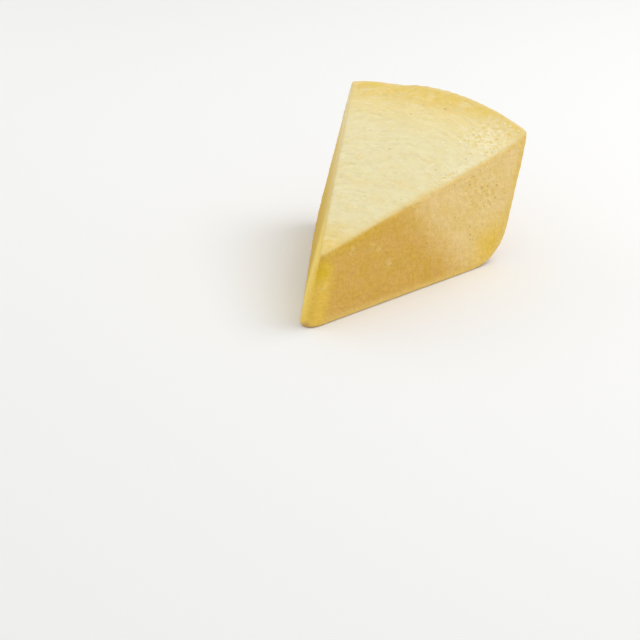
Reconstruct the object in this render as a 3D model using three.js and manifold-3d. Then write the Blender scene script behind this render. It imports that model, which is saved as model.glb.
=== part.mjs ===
// A wedge of hard ripened cheese: about an eighth of a wheel, standing on the wheel's flat bottom,
// with the upper part of the wheel sliced away on a slope that climbs from the point to the rim.
// Millimetres, +Z up. The wedge is worked out round the wheel's axis, which is the Z axis here,
// with its point towards -Y. The last step moves it to the middle of its own box.
import * as THREE from "three";
import { ImprovedNoise } from "three/addons/math/ImprovedNoise.js";
import { mergeVertices } from "three/addons/utils/BufferGeometryUtils.js";
import Module from "manifold-3d";

const { PI, abs, atan2, cos, exp, hypot, imul, max, min, round, sin, sqrt, tan } = Math;
const DEGREE = PI / 180;

// The wheel's rind: a flat bottom, a rounded foot, a side that leans out and then stands upright.
const RIM_RADIUS = 147.2;
const FOOT_ROUND = 25;
const FLARE = 12.9 * DEGREE;
const FLARE_END = 58;
const UPRIGHT_START = 76.3;
const WHEEL_TOP = 96;

// The two cuts that free the wedge. Each bearing is measured from the wedge's middle line, seen from
// above. The first cut is upright. The second one leans out towards the floor.
const UPRIGHT_BEARING = 22.1 * DEGREE;
const LEANING_BEARING = 26.1 * DEGREE;
const LEAN = 13.9 * DEGREE;

// The point of the wedge is blunt, and blunter at the floor, where it has sagged.
const POINT_ROUND = 1.6;
const POINT_ROUND_AT_FLOOR = 6;

// The sliced top: a slope with a slight crown, a lip turned up along the rind, and one shallow dip.
const TOP_AT_AXIS = 39.9;
const CLIMB = 0.271;
const CROSS_CLIMB = 0.088;
const CROWN = 2.8;
const LIP = 3;
const LIP_WIDTH = 14;
const LIP_CURL = 1.5;
const LIP_END = 1.1;
const DIP = 1.5;
const DIP_BEARING = -11.4 * DEGREE;
const DIP_SPREAD = 4.5 * DEGREE;

// Soft paste rounds off along every cut edge.
const TOP_EASE = 1.1;
const FLOOR_EASE = 1.2;

// The unevenness of the rind, the cuts and the top: how deep it is, and how wide its patches are.
// Finer patches of half that width lie over them. On the top they are waves along the rim.
const RIND_RELIEF = 0.5;
const RIND_PATCH = 16;
const CUT_RELIEF = 0.45;
const CUT_PATCH = 13;
const TOP_RELIEF = 0.35;
const TOP_PATCH = 9;
const TOP_WAVE_LENGTH = 26;
const FINER_SHARE = 0.6;

// Small lopsided eyes open on the faces, closer together near the rind.
const EYE_SEED = 11;
const EYE_SMALL = 0.5;
const EYE_LARGE = 1.1;
const EYE_STRETCH = 0.5;
const EYE_LOPSIDED = 0.25;
const EYES_ON_UPRIGHT_CUT = 12;
const EYES_ON_LEANING_CUT = 9;
const EYES_ON_TOP = 8;
const EYE_MARGIN = 7;

// Sizes and numbers of the facets.
const CELL = 3.7;
const FOOT_STEPS = 7;
const POINT_STEPS = 3;
const BEYOND_RIM = 12;
const REACH = RIM_RADIUS + BEYOND_RIM;
const CUT_STEPS = round(REACH / CELL);
const RINGS = 20;
const SETTLING_ROUNDS = 5;
const MERGE_DISTANCE = 1e-3;

const wasm = await Module();
wasm.setup();

const noise = new ImprovedNoise();
const footCentre = footCentreRadius();

// Smooth unevenness of about -1 to 1 at a place, in patches of a width.
function patches(x, y, z, width) {
  return noise.noise(x / width + 0.37, y / width + 0.61, z / width + 0.13);
}

function unevenness(x, y, z, width) {
  return patches(x, y, z, width) + FINER_SHARE * patches(x, y, z, width / 2);
}

// Random numbers from 0 to 1 that are the same on every run.
function seededRandom(seed) {
  let state = seed;
  return () => {
    state = (state + 0x6d2b79f5) | 0;
    let mixed = imul(state ^ (state >>> 15), 1 | state);
    mixed = (mixed + imul(mixed ^ (mixed >>> 7), 61 | mixed)) ^ mixed;
    return ((mixed ^ (mixed >>> 14)) >>> 0) / 2 ** 32;
  };
}

// A closed geometry as a solid that can be joined and cut.
function solidFrom(geometry) {
  const bare = geometry.clone();
  bare.deleteAttribute("normal");
  bare.deleteAttribute("uv");
  const merged = mergeVertices(bare, MERGE_DISTANCE);
  return new wasm.Manifold(
    new wasm.Mesh({
      numProp: 3,
      vertProperties: new Float32Array(merged.attributes.position.array),
      triVerts: new Uint32Array(merged.index.array),
    }),
  );
}

function geometryFrom(solid) {
  const mesh = solid.getMesh();
  const geometry = new THREE.BufferGeometry();
  geometry.setAttribute("position", new THREE.BufferAttribute(mesh.vertProperties, 3));
  geometry.setIndex(new THREE.BufferAttribute(mesh.triVerts, 1));
  geometry.computeVertexNormals();
  return geometry;
}

// Moves every vertex of a geometry to the place that a function gives for it.
function reshape(geometry, place) {
  const positions = geometry.attributes.position;
  const point = new THREE.Vector3();
  for (let i = 0; i < positions.count; i += 1) {
    point.fromBufferAttribute(positions, i);
    place(point);
    positions.setXYZ(i, point.x, point.y, point.z);
  }
  return geometry;
}

// --- The wheel ---

function footTop() {
  return FOOT_ROUND * (1 - sin(FLARE));
}

function footCentreRadius() {
  const atFlareEnd = RIM_RADIUS - (tan(FLARE) * (UPRIGHT_START - FLARE_END)) / 2;
  return atFlareEnd - tan(FLARE) * (FLARE_END - footTop()) - FOOT_ROUND * cos(FLARE);
}

// Distance from the wheel's axis to its rind at a height.
function rindRadius(height) {
  if (height < footTop()) return footCentre + sqrt(FOOT_ROUND ** 2 - (FOOT_ROUND - height) ** 2);
  const bend = UPRIGHT_START - FLARE_END;
  const belowUpright = max(UPRIGHT_START - height, 0);
  const curved = min(belowUpright, bend);
  return RIM_RADIUS - tan(FLARE) * (curved ** 2 / (2 * bend) + belowUpright - curved);
}

function wheelSolid() {
  const profile = [new THREE.Vector2(0, 0), new THREE.Vector2(footCentre, 0)];
  for (let i = 1; i < FOOT_STEPS; i += 1) {
    const turn = ((PI / 2 - FLARE) * i) / FOOT_STEPS;
    const height = FOOT_ROUND * (1 - cos(turn));
    profile.push(new THREE.Vector2(rindRadius(height), height));
  }
  const sideSteps = round((WHEEL_TOP - footTop()) / CELL);
  for (let i = 0; i <= sideSteps; i += 1) {
    const height = footTop() + ((WHEEL_TOP - footTop()) * i) / sideSteps;
    profile.push(new THREE.Vector2(rindRadius(height), height));
  }
  profile.push(new THREE.Vector2(0, WHEEL_TOP));

  const turnSteps = round((2 * PI * RIM_RADIUS) / CELL);
  const wheel = new THREE.LatheGeometry(profile, turnSteps).rotateX(PI / 2);
  reshape(wheel, (point) => {
    const radius = hypot(point.x, point.y);
    if (radius < footCentre) return;
    const fade = min(point.z / FOOT_ROUND, 1);
    const dents = RIND_RELIEF * fade * unevenness(point.x, point.y, point.z, RIND_PATCH);
    point.x *= 1 + dents / radius;
    point.y *= 1 + dents / radius;
  });
  return solidFrom(wheel);
}

// --- The sliced top ---

// Height of the sliced top over a point of the plan.
function topHeight(x, y) {
  const radius = hypot(x, y);
  const bearing = min(max(atan2(x, y), -UPRIGHT_BEARING), UPRIGHT_BEARING);
  const outward = (radius / RIM_RADIUS) ** 2;
  const slope = TOP_AT_AXIS + CLIMB * y - CROSS_CLIMB * x;
  const crown = CROWN * cos(((bearing / UPRIGHT_BEARING) * PI) / 2) * outward;
  const lipShare = max((radius - RIM_RADIUS + LIP_WIDTH) / LIP_WIDTH, 0);
  const lip = LIP * min(lipShare, LIP_END) ** LIP_CURL;
  const dip = DIP * exp(-(((bearing - DIP_BEARING) / DIP_SPREAD) ** 2)) * outward ** 2;
  return slope + crown + lip - dip;
}

// The knife leaves shallow waves that run along the rim.
function slicedTop(x, y) {
  const across = hypot(x, y);
  const along = (atan2(x, y + RIM_RADIUS) * 2 * RIM_RADIUS * TOP_PATCH) / TOP_WAVE_LENGTH;
  return topHeight(x, y) + TOP_RELIEF * unevenness(along, across, 0, TOP_PATCH);
}

// Everything above the sliced top. Its rows of facets bend with the rim.
function aboveTopSolid() {
  const width = 2 * (RIM_RADIUS * sin(LEANING_BEARING) + BEYOND_RIM);
  const depth = RIM_RADIUS + 2 * BEYOND_RIM;
  const height = 2 * WHEEL_TOP;
  const above = new THREE.BoxGeometry(width, depth, height, round(width / CELL), round(depth / CELL), 1);
  above.translate(0, RIM_RADIUS / 2, height / 2);
  reshape(above, (point) => {
    point.y -= RIM_RADIUS - sqrt(RIM_RADIUS ** 2 - point.x ** 2);
    if (point.z < height / 2) point.z = slicedTop(point.x, point.y);
  });
  return solidFrom(above);
}

// --- The two cuts and the point between them ---

const uprightCut = cutAlong(UPRIGHT_BEARING, 1);
const leaningCut = cutAlong(LEANING_BEARING, -1);

// A cut's level direction away from the axis, and the direction that it faces.
function cutAlong(bearing, side) {
  return {
    along: new THREE.Vector2(side * sin(bearing), cos(bearing)),
    facing: new THREE.Vector2(side * cos(bearing), -sin(bearing)),
  };
}

// How far the leaning cut stands out from the wheel's axis at a height.
function leanOut(height) {
  return tan(LEAN) * (TOP_AT_AXIS - height);
}

// Where two straight lines of the plan cross, each given by its facing and its offset along that.
function crossing(facingA, offsetA, facingB, offsetB) {
  const spread = facingA.x * facingB.y - facingA.y * facingB.x;
  return new THREE.Vector2(
    (offsetA * facingB.y - offsetB * facingA.y) / spread,
    (facingA.x * offsetB - facingB.x * offsetA) / spread,
  );
}

function pointRound(height) {
  const upShare = min(max(height / TOP_AT_AXIS, 0), 1);
  return POINT_ROUND_AT_FLOOR + (POINT_ROUND - POINT_ROUND_AT_FLOOR) * upShare;
}

// The wedge's plan at a height, drawn in by an inset. Step 0 is the middle of the blunt point. Steps up
// to POINT_STEPS turn round it, and the next CUT_STEPS go out along the upright cut, or along the
// leaning cut where the step is negative.
function planPoint(step, height, inset = 0) {
  const radius = pointRound(height);
  const uprightOffset = -inset - radius;
  const leaningOffset = leanOut(height) - inset - radius;
  const centre = crossing(uprightCut.facing, uprightOffset, leaningCut.facing, leaningOffset);
  const turnShare = min(max(step / POINT_STEPS, -1), 1);
  const middleAngle = (uprightCut.facing.angle() + leaningCut.facing.angle()) / 2;
  const turned = middleAngle + (turnShare * (uprightCut.facing.angle() - leaningCut.facing.angle())) / 2;
  const facing = new THREE.Vector2(cos(turned), sin(turned));
  const place = centre.addScaledVector(facing, radius);
  const cut = step > 0 ? uprightCut : leaningCut;
  const outShare = max(abs(step) - POINT_STEPS, 0) / CUT_STEPS;
  place.addScaledVector(cut.along, (REACH - place.dot(cut.along)) * outShare);
  return { place, facing };
}

// Height of the sliced top where a step round the plan meets it.
function topOver(step, inset = 0) {
  let top = TOP_AT_AXIS;
  for (let i = 0; i < SETTLING_ROUNDS; i += 1) {
    const { place } = planPoint(step, top, inset);
    top = slicedTop(place.x, place.y);
  }
  return top;
}

// How far an edge is rounded away at a depth below it.
function eased(depth, ease) {
  return depth < ease ? ease * (1 - depth / ease) ** 2 : 0;
}

// Heights of the rings round the wedge: close together along the floor and along the top edge.
function ringHeight(ring, top) {
  if (ring === 0) return -FLOOR_EASE;
  if (ring === 1) return FLOOR_EASE / 3;
  if (ring === RINGS) return top + TOP_EASE / 2;
  if (ring === RINGS - 1) return top - TOP_EASE / 3;
  const share = (ring - 2) / (RINGS - 4);
  return FLOOR_EASE + (top - TOP_EASE - FLOOR_EASE) * share;
}

// A sleeve whose wall is the two cuts with the point between them, closed well outside the rim.
function betweenCutsSolid() {
  const sideSteps = POINT_STEPS + CUT_STEPS;
  const columns = 2 * (sideSteps + 1);
  const closingPoint = new THREE.Vector2(0, REACH + BEYOND_RIM);
  const sleeve = new THREE.CylinderGeometry(1, 1, RINGS, columns, RINGS).rotateX(PI / 2);
  reshape(sleeve, (point) => {
    const ring = round(point.z + RINGS / 2);
    const isCapCentre = hypot(point.x, point.y) < 0.5;
    if (isCapCentre) {
      point.set(0, RIM_RADIUS / 2, ring === 0 ? -WHEEL_TOP : 2 * WHEEL_TOP);
      return;
    }
    const step = round((atan2(point.x, -point.y) / PI) * (sideSteps + 1));
    if (abs(step) > sideSteps) {
      const height = ringHeight(ring, slicedTop(closingPoint.x, closingPoint.y));
      point.set(closingPoint.x, closingPoint.y, height);
      return;
    }
    const top = topOver(step);
    const level = ringHeight(ring, top);
    const topInset = eased(top - level, TOP_EASE);
    const height = level + topOver(step, topInset) - top;
    const { place, facing } = planPoint(step, height, topInset + eased(level, FLOOR_EASE));
    place.addScaledVector(facing, CUT_RELIEF * unevenness(place.x, place.y, height, CUT_PATCH));
    point.set(place.x, place.y, height);
  });
  return solidFrom(sleeve);
}

// --- The eyes ---

// A small lopsided hollow round a place.
function eyeSolid(place, radius, random) {
  const eye = new THREE.IcosahedronGeometry(1, 1);
  const stretch = new THREE.Vector3(random(), random(), random()).multiplyScalar(EYE_STRETCH).addScalar(1);
  const phase = 2 * PI * random();
  reshape(eye, (point) => {
    const lopsided = 1 + EYE_LOPSIDED * sin(3 * point.x + phase) * cos(2 * point.y - phase);
    point.multiply(stretch).multiplyScalar(radius * lopsided).add(place);
  });
  return solidFrom(eye);
}

// How far out an eye lies: the root crowds them towards the rind.
function eyeDistance(random) {
  return EYE_MARGIN * 2 + (RIM_RADIUS - 4 * EYE_MARGIN) * sqrt(random());
}

// Most eyes are small: the square keeps large ones rare.
function eyeRadius(random) {
  return EYE_SMALL + (EYE_LARGE - EYE_SMALL) * random() ** 2;
}

function eyesOnCut(cut, count, random) {
  const side = cut === uprightCut ? 1 : -1;
  const eyes = [];
  for (let i = 0; i < count; i += 1) {
    const step = side * (POINT_STEPS + (CUT_STEPS * eyeDistance(random)) / REACH);
    const height = EYE_MARGIN + (topOver(step) - 2 * EYE_MARGIN) * random();
    const { place } = planPoint(step, height);
    eyes.push(eyeSolid(new THREE.Vector3(place.x, place.y, height), eyeRadius(random), random));
  }
  return eyes;
}

function eyesOnTop(count, random) {
  const eyes = [];
  for (let i = 0; i < count; i += 1) {
    const distance = eyeDistance(random);
    const bearing = UPRIGHT_BEARING * (2 * random() - 1) * (1 - EYE_MARGIN / distance);
    const x = distance * sin(bearing);
    const y = distance * cos(bearing);
    eyes.push(eyeSolid(new THREE.Vector3(x, y, slicedTop(x, y)), eyeRadius(random), random));
  }
  return eyes;
}

// --- The wedge ---

function wedgeGeometry() {
  const random = seededRandom(EYE_SEED);
  let wedge = wheelSolid().intersect(betweenCutsSolid()).subtract(aboveTopSolid());
  const eyes = [
    ...eyesOnCut(uprightCut, EYES_ON_UPRIGHT_CUT, random),
    ...eyesOnCut(leaningCut, EYES_ON_LEANING_CUT, random),
    ...eyesOnTop(EYES_ON_TOP, random),
  ];
  for (const eye of eyes) wedge = wedge.subtract(eye);
  const geometry = geometryFrom(wedge);
  geometry.computeBoundingBox();
  const box = geometry.boundingBox;
  geometry.translate(-(box.min.x + box.max.x) / 2, -(box.min.y + box.max.y) / 2, -box.min.z);
  return geometry;
}

const paste = new THREE.MeshStandardMaterial({ color: 0xe9d58f, roughness: 0.6, metalness: 0 });
const wedge = new THREE.Mesh(wedgeGeometry(), paste);
wedge.name = "cheese_wedge";

const part = new THREE.Group();
part.add(wedge);

export default part;
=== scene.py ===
"""The looks of a wedge of hard ripened cheese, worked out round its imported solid."""

import math
import random

import bmesh
import bpy
from mathutils import Matrix, Vector, noise
from mathutils.kdtree import KDTree


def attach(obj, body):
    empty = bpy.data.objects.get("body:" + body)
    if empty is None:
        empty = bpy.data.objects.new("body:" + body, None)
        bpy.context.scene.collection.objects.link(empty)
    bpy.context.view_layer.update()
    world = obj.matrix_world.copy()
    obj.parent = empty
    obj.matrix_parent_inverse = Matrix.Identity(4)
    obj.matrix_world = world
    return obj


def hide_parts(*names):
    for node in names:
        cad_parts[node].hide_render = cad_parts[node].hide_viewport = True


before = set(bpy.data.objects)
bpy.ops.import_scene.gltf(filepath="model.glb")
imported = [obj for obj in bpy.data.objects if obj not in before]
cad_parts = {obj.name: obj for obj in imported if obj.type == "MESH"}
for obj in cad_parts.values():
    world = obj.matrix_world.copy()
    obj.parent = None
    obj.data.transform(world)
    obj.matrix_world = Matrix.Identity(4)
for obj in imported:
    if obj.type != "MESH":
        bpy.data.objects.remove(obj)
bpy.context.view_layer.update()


# ---- The wedge ----------------------------------------------------------------------------------
# The real piece is about an eighth of a pressed and ripened wheel, one firm paste under a dry rind.
# Two knife cuts free it, and its upper part has been cut away on a slope. It is made the same way
# here: a wheel on its own flat bottom is spun, cut and sliced, and then its skin is roughened.

# Places are taken from the wheel's axis, and a bearing turns from +Y towards +X.
mm = 0.001
wheel_axis = Vector((4.68, -71.99, 0.0)) * mm
rim_radius = 147.2 * mm
foot_round = 25 * mm
flare = math.radians(12.9)
flare_end = 58 * mm
upright_start = 76.3 * mm
wheel_top = 96 * mm

upright_bearing = math.radians(22.1)
leaning_bearing = math.radians(26.1)
lean = math.radians(13.9)
point_worn = 2.3 * mm
point_worn_at_floor = 8.8 * mm
point_reach = 20 * mm

top_at_axis = 39.9 * mm
climb = 0.271
cross_climb = 0.088
crown = 2.8 * mm
lip = 3 * mm
lip_width = 14 * mm
lip_curl = 1.5
lip_overhang = 1.1
dip = 1.5 * mm
dip_bearing = math.radians(-11.4)
dip_spread = math.radians(4.5)

wheel_steps = 240
foot_steps = 12
side_steps = 16
point_steps = 8

bend = upright_start - flare_end
foot_top = foot_round * (1 - math.sin(flare))
rind_at_flare_end = rim_radius - math.tan(flare) * bend / 2
rind_at_foot_top = rind_at_flare_end - math.tan(flare) * (flare_end - foot_top)
foot_centre = rind_at_foot_top - foot_round * math.cos(flare)


def rind_radius(height):
    """Distance from the wheel's axis to its rind at a height: round foot, flare, bend, then upright."""
    if height < foot_top:
        return foot_centre + math.sqrt(foot_round**2 - (foot_round - max(height, 0)) ** 2)
    below = max(upright_start - height, 0)
    curved = min(below, bend)
    return rim_radius - math.tan(flare) * (curved**2 / (2 * bend) + below - curved)


def slope_height(x, y):
    """Height of the flat slope that the top follows."""
    return top_at_axis + climb * y - cross_climb * x


def top_height(x, y):
    """Height of the sliced top: the slope, its crown, the lip along the rind and one shallow dip."""
    radius = math.hypot(x, y)
    bearing = max(-upright_bearing, min(upright_bearing, math.atan2(x, y)))
    outward = (radius / rim_radius) ** 2
    rise = crown * math.cos(bearing / upright_bearing * math.pi / 2) * outward
    up_lip = min(max((radius - rim_radius + lip_width) / lip_width, 0), lip_overhang)
    rise += lip * up_lip**lip_curl
    sag = dip * math.exp(-(((bearing - dip_bearing) / dip_spread) ** 2)) * outward**2
    return slope_height(x, y) + rise - sag


def cut_away(block, point, facing):
    """Slices the block with a flat knife and closes the cut. What lies on the facing side goes."""
    everything = block.verts[:] + block.edges[:] + block.faces[:]
    cut = bmesh.ops.bisect_plane(
        block, geom=everything, dist=1e-7, plane_co=point, plane_no=facing, clear_outer=True
    )
    rim = [part for part in cut["geom_cut"] if isinstance(part, bmesh.types.BMEdge)]
    bmesh.ops.contextual_create(block, geom=rim)


upright_facing = Vector((math.cos(upright_bearing), -math.sin(upright_bearing), 0))
leaning_flat = Vector((-math.cos(leaning_bearing), -math.sin(leaning_bearing), 0))
leaning_facing = (leaning_flat + Vector((0, 0, math.tan(lean)))).normalized()
slope_facing = Vector((cross_climb, -climb, 1)).normalized()

# The wheel's section is spun round its axis, and the block is cut out of it.
block = bmesh.new()
section = [(rind_radius(0), 0.0)]
for step in range(1, foot_steps):
    turn = (math.pi / 2 - flare) * step / foot_steps
    height = foot_round * (1 - math.cos(turn))
    section.append((rind_radius(height), height))
for step in range(side_steps + 1):
    height = foot_top + (wheel_top - foot_top) * step / side_steps
    section.append((rind_radius(height), height))
corners = [block.verts.new((radius, 0, height)) for radius, height in section]
sides = [block.edges.new(pair) for pair in zip(corners, corners[1:])]
bmesh.ops.spin(
    block,
    geom=corners + sides,
    axis=(0, 0, 1),
    cent=(0, 0, 0),
    angle=math.tau,
    steps=wheel_steps,
    use_merge=True,
)
bmesh.ops.holes_fill(block, edges=block.edges)
bmesh.ops.recalc_face_normals(block, faces=block.faces)
cut_away(block, (0, 0, 0), upright_facing)
cut_away(block, (0, 0, top_at_axis), leaning_facing)
cut_away(block, (0, 0, top_at_axis), slope_facing)


def is_cut(face, facing):
    """Whether a face is a whole cut, and not one of the small facets of the rind."""
    return face.normal.dot(facing) > 0.9999 and face.calc_area() > 1000 * mm * mm


block.normal_update()
point_edge = next(
    edge
    for edge in block.edges
    if any(is_cut(face, upright_facing) for face in edge.link_faces)
    and any(is_cut(face, leaning_facing) for face in edge.link_faces)
)
point_foot = min((vert.co.copy() for vert in point_edge.verts), key=lambda place: place.z)

# The point is worn round. The arc lies this share of the bevel's offset in from the sharp edge.
arc_share = (2 - math.sqrt(2)) * math.cos((upright_bearing + leaning_bearing) / 2)
bmesh.ops.bevel(
    block,
    geom=[point_edge],
    offset=point_worn / arc_share,
    offset_type="OFFSET",
    affect="EDGES",
    segments=point_steps,
    profile=0.5,
    material=-1,
)

# It is worn more at the floor, so the arc's foot is spread away from where the sharp edge stood.
foot_ring = [v for v in block.verts if v.co.z < 1e-5 and (v.co - point_foot).length < point_reach]
swell = point_worn_at_floor / min((v.co - point_foot).length for v in foot_ring)
bmesh.ops.scale(block, verts=foot_ring, vec=(swell, swell, 1), space=Matrix.Translation(-point_foot))

wedge_mesh = bpy.data.meshes.new("wedge")
block.to_mesh(wedge_mesh)
block.free()
wedge = bpy.data.objects.new("wedge", wedge_mesh)
bpy.context.scene.collection.objects.link(wedge)


def settle(piece):
    """Works a piece's modifiers into its mesh."""
    shown = piece.evaluated_get(bpy.context.evaluated_depsgraph_get())
    settled = bpy.data.meshes.new_from_object(shown)
    piece.modifiers.clear()
    piece.data = settled


skin_step = 0.5 * mm
skin = wedge.modifiers.new("skin", "REMESH")
skin.mode = "VOXEL"
skin.voxel_size = skin_step
settle(wedge)

# The skin is roughened face by face. Each face has its own marks, and near an edge they blend.
edge_blend = 0.4 * mm
faint_share = 0.01
calm_strip = 2.5 * mm
worn_strip = 4 * mm
unworn_foot = 3 * mm


def depths(place):
    """How far a place lies below the top, the two cuts, the rind and the bottom."""
    x, y, z = place
    return (
        top_height(x, y) - z,
        -place.dot(upright_facing),
        (Vector((0, 0, top_at_axis)) - place).dot(leaning_facing),
        rind_radius(z) - math.hypot(x, y),
        z,
    )


def edge_distance(place):
    """How far a place on one face lies below the next face, and so how far it is from an edge."""
    return sorted(depths(place))[1]


def shares(place):
    """How much of the skin at a place belongs to each of the five faces."""
    below = depths(place)
    nearest = min(below)
    pulls = [math.exp((nearest - depth) / edge_blend) for depth in below]
    total = sum(pulls)
    return [pull / total for pull in pulls]


def grain(place, size, seed):
    """Smooth random bumps about as wide as a size, from -1 to 1."""
    return noise.noise(place / size + Vector((seed, seed * 1.7, -seed)))


def strokes(across, along, width, length, seed):
    """Short strokes, apart from each other: the raised ones above 0 and the sunk ones below it."""
    quiet = 0.12
    wave = noise.noise(Vector((across / width, along / length, seed)))
    return max(wave - quiet, 0) + min(wave + quiet, 0)


def near(distance, spread):
    """Falls smoothly from 1 where the distance is 0 to almost nothing at twice the spread."""
    return math.exp(-((distance / spread) ** 2))


def share_of(value, start, end):
    """Goes evenly from 0 where the value is start to 1 where it is end."""
    return min(max((value - start) / (end - start), 0), 1)


# Where the paste is crumbliest, in millimetres from the wheel's axis and degrees of bearing.
crumbly_corner = 127
crumbly_corner_bearing = 17.5
crumbly_stretch = 98
torn_patch = 114


def crumbled(place):
    """How crumbly the top is: most at its right corner, less by the upright cut and along the rind."""
    radius = math.hypot(place.x, place.y)
    bearing = math.atan2(place.x, place.y)
    corner = near(bearing - math.radians(crumbly_corner_bearing), math.radians(7))
    corner *= near(radius - crumbly_corner * mm, 17 * mm)
    along_cut = near(bearing * radius - (upright_bearing * radius - 3 * mm), 4 * mm)
    along_cut *= near(radius - crumbly_stretch * mm, 15 * mm)
    margin = near(radius - 137 * mm, 9 * mm) * (0.05 + 0.6 * max(grain(place, 12 * mm, 13), 0))
    margin *= share_of(abs(bearing + math.radians(5)), math.radians(4), math.radians(16))
    return max(corner, 0.9 * along_cut, margin)


def top_relief(place):
    """Short torn strokes of the slicing knife, which follow the rim, and crumbly patches."""
    radius = math.hypot(place.x, place.y)
    bearing = math.atan2(place.x, place.y)
    across = radius + (2.2 * grain(place, 9 * mm, 3) + 3 * grain(place, 30 * mm, 7)) * mm
    around = bearing * radius
    patchy = 0.15 + 0.85 * share_of(grain(place, 13 * mm, 5), -0.2, 0.25)
    patchy *= 0.4 + 0.6 * share_of(bearing, math.radians(8), math.radians(-6))
    torn_lines = 0.55 * strokes(across, around, 2.3 * mm, 7 * mm, 0.5)
    torn_lines += 0.2 * strokes(across, around, 1.2 * mm, 3.5 * mm, 7.5)
    rough_ground = 0.03 * grain(place, 1.2 * mm, 61) + 0.06 * grain(place, 3.2 * mm, 89)
    worked = torn_lines * patchy + rough_ground + 0.16 * grain(place, 24 * mm, 11)
    lumps = 0.75 * abs(grain(place, 3.2 * mm, 17)) + 0.25 * grain(place, 1.4 * mm, 19) - 0.3
    return (worked + crumbled(place) * lumps) * mm


# Small nicks in the upright cut, by their distance along it and their height in millimetres.
nick_size = 2.4 * mm
nicks = (
    (36.5, 36.5),
    (40.5, 33.0),
    (22.5, 37.5),
    (48.5, 23.0),
    (4.0, 22.0),
    (115.0, 62.0),
    (90.0, 59.5),
)


def torn(place):
    """How torn a cut is at a place: most near the rind at half height, and in the nicks."""
    radius = math.hypot(place.x, place.y)
    patch = near(radius - torn_patch * mm, 12 * mm) * near(place.z - 44 * mm, 17 * mm)
    dug = [
        near(math.hypot(radius - along * mm, place.z - height * mm), nick_size)
        for along, height in nicks
    ]
    return max(patch, *dug)


def cut_relief(place):
    """Torn paste on a cut: fuzzy all over, with level strokes of the knife and a crumbly patch."""
    radius = math.hypot(place.x, place.y)
    fuzz = 0.2 * grain(place, 2.8 * mm, 23) + 0.11 * grain(place, 1.3 * mm, 29)
    level = strokes(place.z + 1.5 * mm * grain(place, 8 * mm, 67), radius, 1.3 * mm, 5 * mm, 2.5)
    low_rim = near(radius - 133 * mm, 12 * mm) * near(place.z - 24 * mm, 14 * mm)
    drawn = noise.noise(Vector((radius / (1.2 * mm), place.z / (11 * mm), 4.5)))
    lumps = 0.6 * grain(place, 3 * mm, 71) + 0.22 * grain(place, 1.3 * mm, 73)
    broad = 0.2 * grain(place, 26 * mm, 31)
    return (fuzz + 0.32 * level + 0.2 * low_rim * drawn + torn(place) * lumps + broad) * mm


def rind_relief(place):
    """A pressed, dried rind with dents, pimples and the faint rows of the cloth that wrapped it."""
    thread = 0.36 * mm
    around = math.atan2(place.x, place.y) * rim_radius
    dents = 0.2 * grain(place, 13 * mm, 37) + 0.14 * grain(place, 4.5 * mm, 41)
    rows = math.sin(place.z / thread) * math.sin(around / thread)
    cloth = 0.07 * rows * min(max(grain(place, 19 * mm, 43) + 0.35, 0), 1)
    return (dents + cloth + 0.11 * grain(place, 1.5 * mm, 47) - 0.18) * mm


def bottom_relief(place):
    """The flat bottom has only shallow dents, and nothing that stands out."""
    dents = 0.1 * grain(place, 11 * mm, 53) + 0.06 * grain(place, 2.2 * mm, 59)
    return min(dents - 0.04, 0) * mm


# The leaning cut takes its marks from elsewhere in the paste, clear of the torn patch and nicks.
elsewhere = Vector((0.3, 0.2, 0.1))
middle = Vector((0, rim_radius * 0.65, top_at_axis * 0.75))


def worn_edge(place):
    """Where two faces meet, paste has crumbled off unevenly, and most along the upright cut's top."""
    from_edge = edge_distance(place)
    if from_edge > worn_strip or place.z < unworn_foot:
        return Vector((0, 0, 0))
    loss = 0.3 + 0.5 * grain(place, 7 * mm, 79) + 0.08 * grain(place, 2.5 * mm, 83)
    below_top, behind_upright = depths(place)[:2]
    wear = 0.6 + 0.7 * share_of(max(below_top, behind_upright), 4 * mm, 1 * mm)
    inward = (middle - place).normalized()
    return inward * near(from_edge, 1.3 * mm) * max(loss, 0) * wear * mm


def roughen(place):
    """The marks of every face that has a share of the skin at a place, and the wear of its edges."""
    top, upright, leaning, rind, bottom = shares(place)
    shift = Vector((0, 0, 0))
    if top > faint_share:
        shift += top * top_relief(place) * slope_facing
    if upright > faint_share:
        shift += upright * cut_relief(place) * upright_facing
    if leaning > faint_share:
        shift += leaning * cut_relief(place + elsewhere) * leaning_facing
    if rind > faint_share:
        shift += rind * rind_relief(place) * Vector((place.x, place.y, 0)).normalized()
    if bottom > faint_share:
        shift += bottom * bottom_relief(place) * Vector((0, 0, -1))
    calm = 0.2 + 0.8 * share_of(edge_distance(place), 0, calm_strip)
    return shift * calm + worn_edge(place)


# The flat slope is drawn up into the crowned top, the steps left by the remesh are eased away, and
# then every point of the skin gets its marks.
easing_rounds = 20
paste = bmesh.new()
paste.from_mesh(wedge.data)
for vert in paste.verts:
    x, y, z = vert.co
    vert.co.z = z * top_height(x, y) / slope_height(x, y)
for _ in range(easing_rounds):
    bmesh.ops.smooth_vert(
        paste, verts=paste.verts, factor=0.5, use_axis_x=True, use_axis_y=True, use_axis_z=True
    )
for vert in paste.verts:
    vert.co += roughen(vert.co)
    vert.co.z = max(vert.co.z, 0)
paste.to_mesh(wedge.data)
paste.free()

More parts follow.
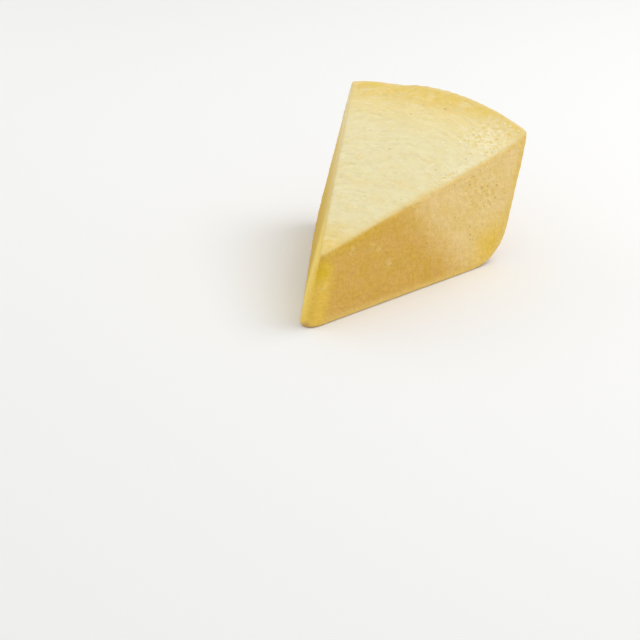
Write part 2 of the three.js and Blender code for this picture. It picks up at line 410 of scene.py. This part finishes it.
# Gas has left small eyes in the paste. On the upright cut each is given by its distance along the
# cut, its height and its size, and on the top by its distance from the wheel's axis, its bearing
# and its size, in millimetres and degrees. Others too small to place one by one are strewn, and on
# the upright cut they lie mostly round its torn patch.
upright_eyes = (
    (104.7, 53.3, 0.45),
    (118.4, 53.7, 0.55),
    (122.4, 50.7, 0.45),
    (125.2, 48.0, 0.5),
    (118.2, 40.9, 0.4),
    (106.7, 42.9, 0.45),
    (119.5, 39.5, 0.4),
    (106.5, 28.0, 0.5),
    (106.9, 22.9, 0.45),
    (114.6, 21.7, 0.4),
    (25.8, 36.7, 0.35),
    (23.3, 24.7, 0.5),
)
top_eyes = (
    (124.0, -4.9, 0.5),
    (134.7, 2.2, 0.45),
    (130.8, 15.0, 0.5),
    (92.2, -4.7, 0.35),
    (108.0, 18.0, 0.4),
)
strewn_on_upright = 40
strewn_on_leaning = 16
strewn_on_top = 4
eye_gap = 1.8 * mm
eye_margin = 2.5 * mm
eye_raised = 0.3
eye_longest = 1.6

chance = random.Random(23)
upright_along = Vector((math.sin(upright_bearing), math.cos(upright_bearing), 0))
leaning_along = Vector((-math.sin(leaning_bearing), math.cos(leaning_bearing), 0))
eyes = []


def open_eye(place, facing, size):
    """Notes an eye in a face, unless it would run into another or over an edge."""
    is_clear = all((place - eye).length > eye_gap for eye, _, _ in eyes)
    if is_clear and edge_distance(place) > eye_margin:
        eyes.append((place, facing, size))


def open_upright_eye(along, height, size):
    """Notes an eye in the upright cut. The distance along it and the height are in millimetres."""
    place = upright_along * along * mm + Vector((0, 0, height)) * mm
    open_eye(place, upright_facing, size)


def open_top_eye(radius, bearing, size):
    """Notes an eye in the top."""
    x, y = radius * math.sin(bearing), radius * math.cos(bearing)
    open_eye(Vector((x, y, top_height(x, y))), slope_facing, size)


for along, height, size in upright_eyes:
    open_upright_eye(along, height, size * mm)
for radius, bearing, size in top_eyes:
    open_top_eye(radius * mm, math.radians(bearing), size * mm)
for _ in range(strewn_on_upright):
    along, height = chance.gauss(torn_patch, 11), chance.gauss(43, 13)
    open_upright_eye(along, height, chance.uniform(0.22, 0.42) * mm)
for _ in range(strewn_on_leaning):
    along, height = chance.uniform(15, 135) * mm, chance.uniform(6, 70) * mm
    lean_out = math.tan(lean) * (top_at_axis - height)
    place = leaning_along * along + leaning_flat * lean_out + Vector((0, 0, height))
    below_top = depths(place)[0]
    if below_top > 0:
        open_eye(place, leaning_facing, chance.uniform(0.25, 0.5) * mm)
for _ in range(strewn_on_top):
    bearing = math.radians(chance.uniform(-21, 21))
    open_top_eye(chance.uniform(40, 140) * mm, bearing, chance.uniform(0.25, 0.35) * mm)

hollows = bmesh.new()
for place, facing, size in eyes:
    turn = facing.to_track_quat("Z", "Y").to_matrix().to_4x4()
    spun = Matrix.Rotation(chance.uniform(0, math.tau), 4, "Z")
    stretch = Matrix.Diagonal((size * chance.uniform(1.0, eye_longest), size, size, 1))
    raised = Matrix.Translation(place + facing * size * eye_raised)
    bmesh.ops.create_icosphere(hollows, subdivisions=2, radius=1, matrix=raised @ turn @ spun @ stretch)
hollow_mesh = bpy.data.meshes.new("hollows")
hollows.to_mesh(hollow_mesh)
hollows.free()
hollow_piece = bpy.data.objects.new("hollows", hollow_mesh)
bpy.context.scene.collection.objects.link(hollow_piece)
bore = wedge.modifiers.new("bore", "BOOLEAN")
bore.operation = "DIFFERENCE"
bore.solver = "MANIFOLD"
bore.object = hollow_piece
settle(wedge)
bpy.data.objects.remove(hollow_piece)

# Flat stretches of the skin need fewer faces than the remesh gave them.
skin_kept = 0.42
thin = wedge.modifiers.new("thin", "DECIMATE")
thin.ratio = skin_kept
thin.use_collapse_triangulate = True
settle(wedge)

# Readings of the finished skin steer its colour: whose face it is and how deep it lies in an eye,
# how far in from the rind it is, how far below the top, and how crumbly. The distances are in
# millimetres. The layer that ripens first follows the rind, and is thinner at the bottom.
thinner_at_bottom = 1.6
eye_places = KDTree(len(eyes))
for number, (place, _, _) in enumerate(eyes):
    eye_places.insert(place, number)
eye_places.balance()
face_readings = []
ripe_readings = []
under_readings = []
crumbly_readings = []
for vert in wedge.data.vertices:
    top, upright, leaning, rind, bottom = shares(vert.co)
    place, number, distance = eye_places.find(vert.co)
    eye_size = eyes[number][2]
    hollow = near(distance, eye_size * 1.1)
    face_readings.extend((top, leaning, rind + bottom, hollow))
    below_top, _, _, from_rind, above_bottom = depths(vert.co)
    ripe_readings.append(min(from_rind, above_bottom * thinner_at_bottom) / mm)
    under_readings.append(below_top / mm)
    crumbly_readings.append(top * crumbled(vert.co) + upright * torn(vert.co))
wedge.data.attributes.new("face", "FLOAT_COLOR", "POINT").data.foreach_set("color", face_readings)
wedge.data.attributes.new("ripe", "FLOAT", "POINT").data.foreach_set("value", ripe_readings)
wedge.data.attributes.new("under", "FLOAT", "POINT").data.foreach_set("value", under_readings)
wedge.data.attributes.new("crumbly", "FLOAT", "POINT").data.foreach_set("value", crumbly_readings)
wedge.data.transform(Matrix.Translation(wheel_axis))
wedge.data.shade_smooth()


class Wire:
    """One value that runs through a material. Arithmetic on it is written out as Math nodes."""

    def __init__(self, tree, socket=None):
        self.tree = tree
        self.socket = socket

    def node(self, kind, settings=None, values=None, out=0):
        """Adds a node, sets it up, feeds its sockets and hands back one of its outputs."""
        added = self.tree.nodes.new(kind)
        for name, setting in (settings or {}).items():
            if name == "stops":
                ramp = added.color_ramp
                for position, _ in setting[2:]:
                    ramp.elements.new(position)
                for element, (position, color) in zip(ramp.elements, setting):
                    element.position = position
                    element.color = color
            else:
                setattr(added, name, setting)
        for key, value in (values or {}).items():
            if isinstance(value, Wire):
                self.tree.links.new(value.socket, added.inputs[key])
            else:
                added.inputs[key].default_value = value
        return Wire(self.tree, added.outputs[out])

    def math(self, operation, *values):
        """Works out one Math node on the values."""
        return self.node("ShaderNodeMath", {"operation": operation}, dict(enumerate(values)))

    def __add__(self, other):
        return self.math("ADD", self, other)

    __radd__ = __add__

    def __sub__(self, other):
        return self.math("SUBTRACT", self, other)

    def __rsub__(self, other):
        return self.math("SUBTRACT", other, self)

    def __mul__(self, other):
        return self.math("MULTIPLY", self, other)

    __rmul__ = __mul__

    def __truediv__(self, other):
        return self.math("DIVIDE", self, other)

    def __pow__(self, other):
        return self.math("POWER", self, other)

    def ease(self, start, end):
        """Goes smoothly from 0 where the value is start to 1 where it is end."""
        return self.node(
            "ShaderNodeMapRange", {"interpolation_type": "SMOOTHSTEP"}, {0: self, 1: start, 2: end}
        )

    def blend(self, low, high, how="MIX"):
        """Mixes two colours with the value as the share of the second."""
        settings = {"data_type": "RGBA", "blend_type": how}
        return self.node("ShaderNodeMix", settings, {0: self, 6: low, 7: high}, 2)

    def parts(self):
        """Splits a colour or a place into its three numbers."""
        split = self.tree.nodes.new("ShaderNodeSeparateXYZ")
        self.tree.links.new(self.socket, split.inputs[0])
        return [Wire(self.tree, output) for output in split.outputs]

    def speckle(self, size, detail=2.0, rough=0.5):
        """Soft random blotches about as wide as a size in the value's own unit, from 0 to 1."""
        settings = {"noise_dimensions": "3D"}
        values = {"Vector": self, "Scale": 1 / size, "Detail": detail, "Roughness": rough}
        return self.node("ShaderNodeTexNoise", settings, values)


def shade(red, green, blue):
    """A colour given as on a paint chart, from 0 to 255, in the linear form that materials take."""
    parts = [value / 255 for value in (red, green, blue)]
    linear = [part / 12.92 if part <= 0.04045 else ((part + 0.055) / 1.055) ** 2.4 for part in parts]
    return (*linear, 1.0)


paste_material = bpy.data.materials.new("paste")
paste_material.use_nodes = True
tree = paste_material.node_tree
surface = tree.nodes["Principled BSDF"]
surface.inputs["Specular IOR Level"].default_value = 0.04
surface.inputs["Subsurface Weight"].default_value = 0.12
surface.inputs["Subsurface Radius"].default_value = (1.0, 0.6, 0.2)
surface.inputs["Subsurface Scale"].default_value = 2.5 * mm

# Where a spot of the paste is, in millimetres from the wheel's axis, and what its skin reads there.
source = Wire(tree)
object_place = source.node("ShaderNodeTexCoord", out="Object")
from_axis = source.node(
    "ShaderNodeVectorMath", {"operation": "SUBTRACT"}, {0: object_place, 1: wheel_axis}
)
spot = source.node("ShaderNodeVectorMath", {"operation": "SCALE"}, {0: from_axis, 3: 1 / mm})
sideways, outward, tall = spot.parts()
reach = (sideways * sideways + outward * outward) ** 0.5
swing = source.math("ARCTAN2", sideways, outward)
face = source.node("ShaderNodeAttribute", {"attribute_name": "face"}, out="Vector")
on_top, on_leaning, on_rind = face.parts()
in_eye = source.node("ShaderNodeAttribute", {"attribute_name": "face"}, out="Alpha")
ripe = source.node("ShaderNodeAttribute", {"attribute_name": "ripe"}, out="Fac")
under = source.node("ShaderNodeAttribute", {"attribute_name": "under"}, out="Fac")
crumbly = source.node("ShaderNodeAttribute", {"attribute_name": "crumbly"}, out="Fac")

# Random blotches of several sizes, and two kinds that the knife has drawn out round the rim.
wide = spot.speckle(16, 3)
middling = spot.speckle(4.5, 3)
small = spot.speckle(1.3, 3)
clod = spot.speckle(2.8, 3)
patch = spot.speckle(8, 4, 0.6)
blotch = spot.speckle(9, 2)
grit = spot.speckle(1.0, 1)
around_rim = source.node(
    "ShaderNodeCombineXYZ",
    values={0: reach + wide * 10 + middling * 4, 1: swing * reach * 0.25, 2: tall * 0.1},
)
streak = around_rim.speckle(1.7, 2)
swath = around_rim.speckle(4.2, 2)

# The fresh top: pale, golden along the rim and a little at the point, with faint streaks.
top_middle = -0.05
ripe_depth = 42
off_middle = swing - top_middle
depth_in = ripe + (wide - 0.5) * 11 + (middling - 0.5) * 2.5 + (streak - 0.5)
depth_in = depth_in + off_middle * off_middle * 40
top_color = source.node(
    "ShaderNodeValToRGB",
    {
        "stops": (
            (0.0, shade(235, 208, 134)),
            (0.05, shade(234, 205, 114)),
            (0.19, shade(234, 204, 112)),
            (0.25, shade(233, 207, 130)),
            (0.38, shade(233, 212, 148)),
            (0.6, shade(232, 216, 158)),
            (1.0, shade(231, 220, 174)),
        )
    },
    {0: depth_in / ripe_depth},
)
at_rim = ripe.ease(16, 5)
pale_patches = at_rim * blotch.ease(0.5, 0.66) * 0.45
top_color = pale_patches.blend(top_color, shade(237, 215, 152))
gold_patches = at_rim * blotch.ease(0.47, 0.36) * 0.4
top_color = gold_patches.blend(top_color, shade(231, 203, 98))
warm_patches = at_rim * patch.ease(0.58, 0.72) * 0.4
top_color = warm_patches.blend(top_color, shade(241, 200, 106))
at_point = reach.ease(36, 10) * 0.9
top_color = at_point.blend(top_color, shade(232, 203, 116))
dull_streaks = streak.ease(0.55, 0.75) * 0.35
top_color = dull_streaks.blend(top_color, shade(224, 202, 136))
pale_streaks = streak.ease(0.45, 0.25) * 0.4
top_color = pale_streaks.blend(top_color, shade(240, 231, 194))
dull_swaths = swath.ease(0.54, 0.68) * 0.3
top_color = dull_swaths.blend(top_color, shade(226, 207, 148))
pale_swaths = swath.ease(0.46, 0.32) * 0.3
top_color = pale_swaths.blend(top_color, shade(240, 230, 190))
yellow_patches = patch.ease(0.5, 0.7) * 0.4
top_color = yellow_patches.blend(top_color, shade(234, 212, 146))
# Painted glints: sparse pale grains standing in for light caught on moist spots.
pale_glints = grit.ease(0.68, 0.74) * patch.ease(0.4, 0.6) * 0.6
top_color = pale_glints.blend(top_color, shade(252, 245, 216))
dark_grit = grit.ease(0.31, 0.25) * patch.ease(0.4, 0.6) * 0.4
top_color = dark_grit.blend(top_color, shade(202, 180, 116))
from_cut = outward * math.sin(upright_bearing) - sideways * math.cos(upright_bearing)
along_cut = from_cut.ease(4.5, 0.5) * reach.ease(100, 70) * 0.6
top_color = along_cut.blend(top_color, shade(231, 204, 130))
# Painted highlight: a pale edge along the rind.
rim_highlight = ripe.ease(2.6, 0.6) * 0.6
top_color = rim_highlight.blend(top_color, shade(230, 213, 172))

# The upright cut: its extra gold over the top is painted warm shade, and painted shade deepens
# towards the point.
shade_height = 38
toward_point = reach + (tall - shade_height) * 0.8 + (wide - 0.5) * 8 + (middling - 0.5) * 10
toward_point = toward_point.ease(92, 56)
# Painted light and shade: a lighter colour for the lit part of the cut and a deeper one for its shaded
# part towards the point.
lit_cut_color = patch.ease(0.35, 0.65).blend(shade(237, 205, 128), shade(243, 212, 146))
shaded_cut_color = patch.ease(0.35, 0.65).blend(shade(220, 176, 76), shade(224, 179, 92))
upright_color = toward_point.blend(lit_cut_color, shaded_cut_color)
# Painted shade: a deeper gold low down by the rind, where shade lies near the floor.
low_shade_gold = reach.ease(102, 122) * tall.ease(34, 14) * (0.55 + 0.5 * middling)
upright_color = low_shade_gold.blend(upright_color, shade(237, 198, 70))
gold_margin = (ripe + (middling - 0.5) * 4).ease(9, 2)
upright_color = gold_margin.blend(upright_color, shade(236, 202, 114))
# Painted highlight: a pale edge where the cut meets the rind.
rind_edge_highlight = ripe.ease(2.4, 0.4) * 0.5
upright_color = rind_edge_highlight.blend(upright_color, shade(238, 211, 148))
pale_flecks = middling.ease(0.55, 0.75) * (0.25 - 0.17 * toward_point)
upright_color = pale_flecks.blend(upright_color, shade(246, 217, 160))
gold_under_top = under.ease(4.5, 1.5) * patch.ease(0.5, 0.65) * 0.5
upright_color = gold_under_top.blend(upright_color, shade(228, 194, 76))
gold_near_point = under.ease(9, 2) * reach.ease(64, 30) * 0.45
upright_color = gold_near_point.blend(upright_color, shade(219, 180, 50))
# Painted highlight: a pale line just under the crease with the top, fainter towards the point.
crease_highlight = under.ease(1.8, 0) * (0.25 + 0.45 * reach.ease(40, 80))
upright_color = crease_highlight.blend(upright_color, shade(238, 216, 150))

# The leaning cut: deeper in colour towards the floor as painted shade, paler towards its top partly as
# painted sheen, and paler at the point as painted light.
leaning_tall = 80
# Painted shade deepens the colour towards the floor, and painted sheen pales it towards the top.
leaning_color = source.node(
    "ShaderNodeValToRGB",
    {
        "stops": (
            (0.0, shade(216, 178, 70)),
            (0.25, shade(217, 180, 75)),
            (0.5, shade(225, 193, 100)),
            (0.75, shade(238, 213, 142)),
            (1.0, shade(247, 231, 184)),
        )
    },
    {0: (tall + (wide - 0.5) * 12 + (middling - 0.5) * 16) / leaning_tall},
)
# Painted light: paler near the point, where its rounding is lit.
near_point = (reach + (wide - 0.5) * 12 + (middling - 0.5) * 12).ease(58, 18)
leaning_color = near_point.blend(leaning_color, shade(250, 219, 114))
leaning_margin = (ripe + (middling - 0.5) * 4).ease(8, 1) * 0.6
leaning_color = leaning_margin.blend(leaning_color, shade(232, 199, 112))

# The worn point between the two cuts is painted paler than the cuts as painted light on its rounding,
# paler on its left where it is lit and deeper on its right where it turns into shade. Its middle runs
# from left of and ahead of the wheel's axis on the floor to just behind the axis at the top. A deep
# golden glow, painted light shining through the thin point, lies under its upper end, on the upright
# cut.
point_left = 4.6
point_ahead = 3.6
point_behind = 2.3
point_tall = top_at_axis / mm
glow_reach = 2
glow_tall = 31.5
point_side = sideways + point_left - tall * (point_left / point_tall)
point_out = outward + point_ahead - tall * ((point_ahead + point_behind) / point_tall)
on_point = source.math("SQRT", point_side**2 + point_out**2).ease(14, 5) * tall.ease(38, 30)
# Painted light and shade across the point: lit on its left, shaded on its right.
rightness = (point_side + (middling - 0.5) * 5).ease(-5, 2)
point_color = rightness.blend(shade(248, 211, 94), shade(241, 202, 84))
# Painted light: the glow stands in for light shining through the thin point.
from_glow = source.math("SQRT", (reach - glow_reach) ** 2 + (tall - glow_tall) ** 2)
in_glow = (from_glow + (clod - 0.5) * 8).ease(10, 1) * (1 - on_leaning)
color = on_leaning.blend(upright_color, leaning_color)
color = (on_point * 0.85).blend(color, point_color)
color = in_glow.blend(color, shade(227, 190, 46))
color = on_top.blend(color, top_color)

# All three faces have pale and dull specks and clods, and crumbly places pale flakes, partly painted
# highlights on the clods and nicks, and painted shade in the gaps between them.
pale_specks = small.ease(0.35, 0.65) * 0.06
color = pale_specks.blend(color, shade(250, 232, 180))
dull_clods = clod.ease(0.42, 0.68) * 0.3
color = dull_clods.blend(color, shade(236, 236, 232), "MULTIPLY")
dull_specks = small.ease(0.6, 0.35) * (1 - on_top) * 0.25
color = dull_specks.blend(color, shade(232, 232, 228), "MULTIPLY")
flaky = crumbly * (0.65 + 0.35 * on_top)
# Pale flakes of crumbled paste, partly painted highlights on the clods and the nicks.
flake_highlight_color = on_top.blend(shade(249, 228, 162), shade(249, 238, 204))
small_flakes_and_highlights = flaky * small.ease(0.56, 0.66) * 0.5
color = small_flakes_and_highlights.blend(color, flake_highlight_color)
large_flakes_and_highlights = flaky * clod.ease(0.5, 0.58) * 0.55
color = large_flakes_and_highlights.blend(color, flake_highlight_color)
# Painted shade in the gaps between the clods.
shaded_gaps = crumbly * clod.ease(0.45, 0.36) * 0.5
color = shaded_gaps.blend(color, shade(218, 186, 84))

# The rind: hard, dry and tan.
rind_color = wide.ease(0.35, 0.65).blend(shade(207, 165, 94), shade(222, 187, 120))
dark_patches = patch.ease(0.45, 0.75) * 0.45
rind_color = dark_patches.blend(rind_color, shade(194, 150, 84))
pale_spots = middling.ease(0.5, 0.75) * 0.3
rind_color = pale_spots.blend(rind_color, shade(230, 201, 142))
dark_spots = clod.ease(0.45, 0.35) * 0.25
rind_color = dark_spots.blend(rind_color, shade(196, 156, 90))
dark_specks = small.ease(0.56, 0.7) * 0.35
rind_color = dark_specks.blend(rind_color, shade(178, 134, 74))
color = on_rind.blend(color, rind_color)

# The eyes are painted darker inside as painted shade in their hollows, and all of the paste is a
# little rougher on its rind.
hollow_shade = in_eye * (1 - on_rind) * 0.45
color = hollow_shade.blend(color, shade(176, 146, 70))
tree.links.new(color.socket, surface.inputs["Base Color"])
rough = 0.52 + 0.12 * middling + 0.2 * on_rind
tree.links.new(rough.socket, surface.inputs["Roughness"])

# What is too fine for the mesh, in millimetres.
fibres = spot.speckle(0.7, 2)
granules = source.node(
    "ShaderNodeTexVoronoi", {"feature": "SMOOTH_F1"}, {"Vector": spot, "Scale": 0.7, "Smoothness": 0.6}
)
on_cut = 1 - on_top - on_rind
fine = (small * 0.12 + fibres * 0.07) * (1 - 0.3 * on_top)
bumps = fine + (streak * 0.12 + swath * 0.15) * on_top - granules * on_cut * 0.16
relief = source.node("ShaderNodeBump", values={"Strength": 1.0, "Distance": mm, "Height": bumps})
tree.links.new(relief.socket, surface.inputs["Normal"])

wedge.data.materials.clear()
wedge.data.materials.append(paste_material)
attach(wedge, "root")
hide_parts("cheese_wedge")


# ---- The crumbs ---------------------------------------------------------------------------------
# The knife has left crumbs of the same paste on the top, most of them at its right corner and some
# along the cut. Each is a small angular lump that has sunk a little into the soft face.

crumb_smallest = 0.22 * mm
crumb_largest = 0.62 * mm
crumb_longest = 2.0
crumb_flatness = 0.42
crumb_raised = 0.15
crumb_jag = 0.4
corner_crumbs = 56
cut_crumbs = 30
stray_crumbs = 14
clear_of_cut = 1.5 * mm
clear_of_rind = 2 * mm
drop_height = 0.2

bpy.context.view_layer.update()
lumps = bmesh.new()
for number in range(corner_crumbs + cut_crumbs + stray_crumbs):
    if number < corner_crumbs:
        radius = chance.gauss(crumbly_corner, 11) * mm
        bearing = math.radians(chance.gauss(16.5, 4))
    elif number < corner_crumbs + cut_crumbs:
        radius = chance.gauss(crumbly_stretch, 14) * mm
        bearing = upright_bearing - chance.uniform(1.5, 7) * mm / radius
    else:
        radius = chance.uniform(50, 140) * mm
        bearing = math.radians(chance.uniform(-21, 16))
    size = crumb_smallest + (crumb_largest - crumb_smallest) * chance.random() ** 2
    over_cut = abs(bearing) > upright_bearing - clear_of_cut / radius
    if over_cut or radius > rim_radius - clear_of_rind:
        continue
    x, y = radius * math.sin(bearing), radius * math.cos(bearing)
    above = Vector((x, y, drop_height)) + wheel_axis
    _, place, facing, _ = wedge.ray_cast(above, Vector((0, 0, -1)))
    crumb = bmesh.ops.create_icosphere(lumps, subdivisions=1, radius=size)["verts"]
    for vert in crumb:
        vert.co += Vector([chance.uniform(-crumb_jag, crumb_jag) for _ in range(3)]) * size
    flat = Matrix.Diagonal((chance.uniform(0.9, crumb_longest), 1, crumb_flatness, 1))
    turn = facing.to_track_quat("Z", "Y").to_matrix().to_4x4()
    spun = Matrix.Rotation(chance.uniform(0, math.tau), 4, "Z")
    lie = Matrix.Translation(place + facing * size * crumb_raised) @ turn @ spun @ flat
    bmesh.ops.transform(lumps, matrix=lie, verts=crumb)
crumb_mesh = bpy.data.meshes.new("crumbs")
lumps.to_mesh(crumb_mesh)
lumps.free()
crumbs = bpy.data.objects.new("crumbs", crumb_mesh)
bpy.context.scene.collection.objects.link(crumbs)

crumb_material = bpy.data.materials.new("crumbs")
crumb_material.use_nodes = True
crumb_surface = crumb_material.node_tree.nodes["Principled BSDF"]
crumb_surface.inputs["Specular IOR Level"].default_value = 0.3
crumb_surface.inputs["Roughness"].default_value = 0.5
crumb_surface.inputs["Subsurface Weight"].default_value = 0.3
crumb_surface.inputs["Subsurface Radius"].default_value = (1.0, 0.6, 0.2)
crumb_surface.inputs["Subsurface Scale"].default_value = 1.5 * mm
crumb_source = Wire(crumb_material.node_tree)
crumb_place = crumb_source.node("ShaderNodeTexCoord", out="Object")
paleness = crumb_place.speckle(3 * mm, 1).ease(0.35, 0.65)
crumb_color = paleness.blend(shade(244, 228, 170), shade(253, 243, 206))
crumb_material.node_tree.links.new(crumb_color.socket, crumb_surface.inputs["Base Color"])
crumb_mesh.materials.append(crumb_material)
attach(crumbs, "root")


# ---- The floor ----------------------------------------------------------------------------------
# A large plain sheet of pale matt card, which isn't part of the object. It is laid flat under the
# wedge and runs on past the picture on every side.

floor_half = 3.0
sheet = bmesh.new()
bmesh.ops.create_grid(sheet, x_segments=1, y_segments=1, size=floor_half)
floor_mesh = bpy.data.meshes.new("floor")
sheet.to_mesh(floor_mesh)
sheet.free()
floor = bpy.data.objects.new("floor", floor_mesh)
bpy.context.scene.collection.objects.link(floor)
floor_material = bpy.data.materials.new("floor")
floor_material.use_nodes = True
floor_surface = floor_material.node_tree.nodes["Principled BSDF"]
floor_surface.inputs["Base Color"].default_value = shade(240, 240, 239)
floor_surface.inputs["Roughness"].default_value = 0.9
floor_surface.inputs["Specular IOR Level"].default_value = 0.1
floor_mesh.materials.append(floor_material)


# ---- The light ----------------------------------------------------------------------------------
# A white studio lights it from all round, with one large soft box high up behind its right side and
# a weak one to its left, which lifts the leaning cut.

studio = bpy.data.worlds.new("studio")
studio.use_nodes = True
studio.node_tree.nodes["Background"].inputs["Color"].default_value = (1, 1, 1, 1)
studio.node_tree.nodes["Background"].inputs["Strength"].default_value = 0.72
bpy.context.scene.world = studio
bpy.context.scene.view_settings.view_transform = "Standard"


def hang_lamp(name, toward, distance, size, energy):
    """Hangs a square soft box that faces the wedge."""
    lamp = bpy.data.lights.new(name, "AREA")
    lamp.shape = "SQUARE"
    lamp.size = size
    lamp.energy = energy
    soft_box = bpy.data.objects.new(name, lamp)
    bpy.context.scene.collection.objects.link(soft_box)
    soft_box.location = toward.normalized() * distance
    soft_box.rotation_euler = toward.to_track_quat("Z", "Y").to_euler()
    soft_box.visible_camera = False


hang_lamp("key", toward=Vector((0.5, 0.5, 1.1)), distance=1.3, size=0.8, energy=7.2)
hang_lamp("fill", toward=Vector((-0.9, -0.1, 0.4)), distance=1.0, size=0.6, energy=1.0)


# ---- The camera ---------------------------------------------------------------------------------
# A long lens on a stand in front of the wedge's point and to its right. It looks down at the wedge,
# which it holds above and to the right of the middle of its picture.

camera_place = Vector((339.8, -596.58, 371.65)) * mm + wheel_axis
camera_azimuth = math.radians(29.562)
camera_elevation = math.radians(28.132)
camera_roll = math.radians(0.326)

lens = bpy.data.cameras.new("camera")
lens.sensor_width = 36
lens.lens = 84.375
camera = bpy.data.objects.new("camera", lens)
bpy.context.scene.collection.objects.link(camera)
tilted = Matrix.Rotation(math.pi / 2 - camera_elevation, 4, "X") @ Matrix.Rotation(camera_roll, 4, "Z")
turned = Matrix.Rotation(camera_azimuth, 4, "Z") @ tilted
camera.matrix_world = Matrix.Translation(camera_place) @ turned
bpy.context.scene.camera = camera
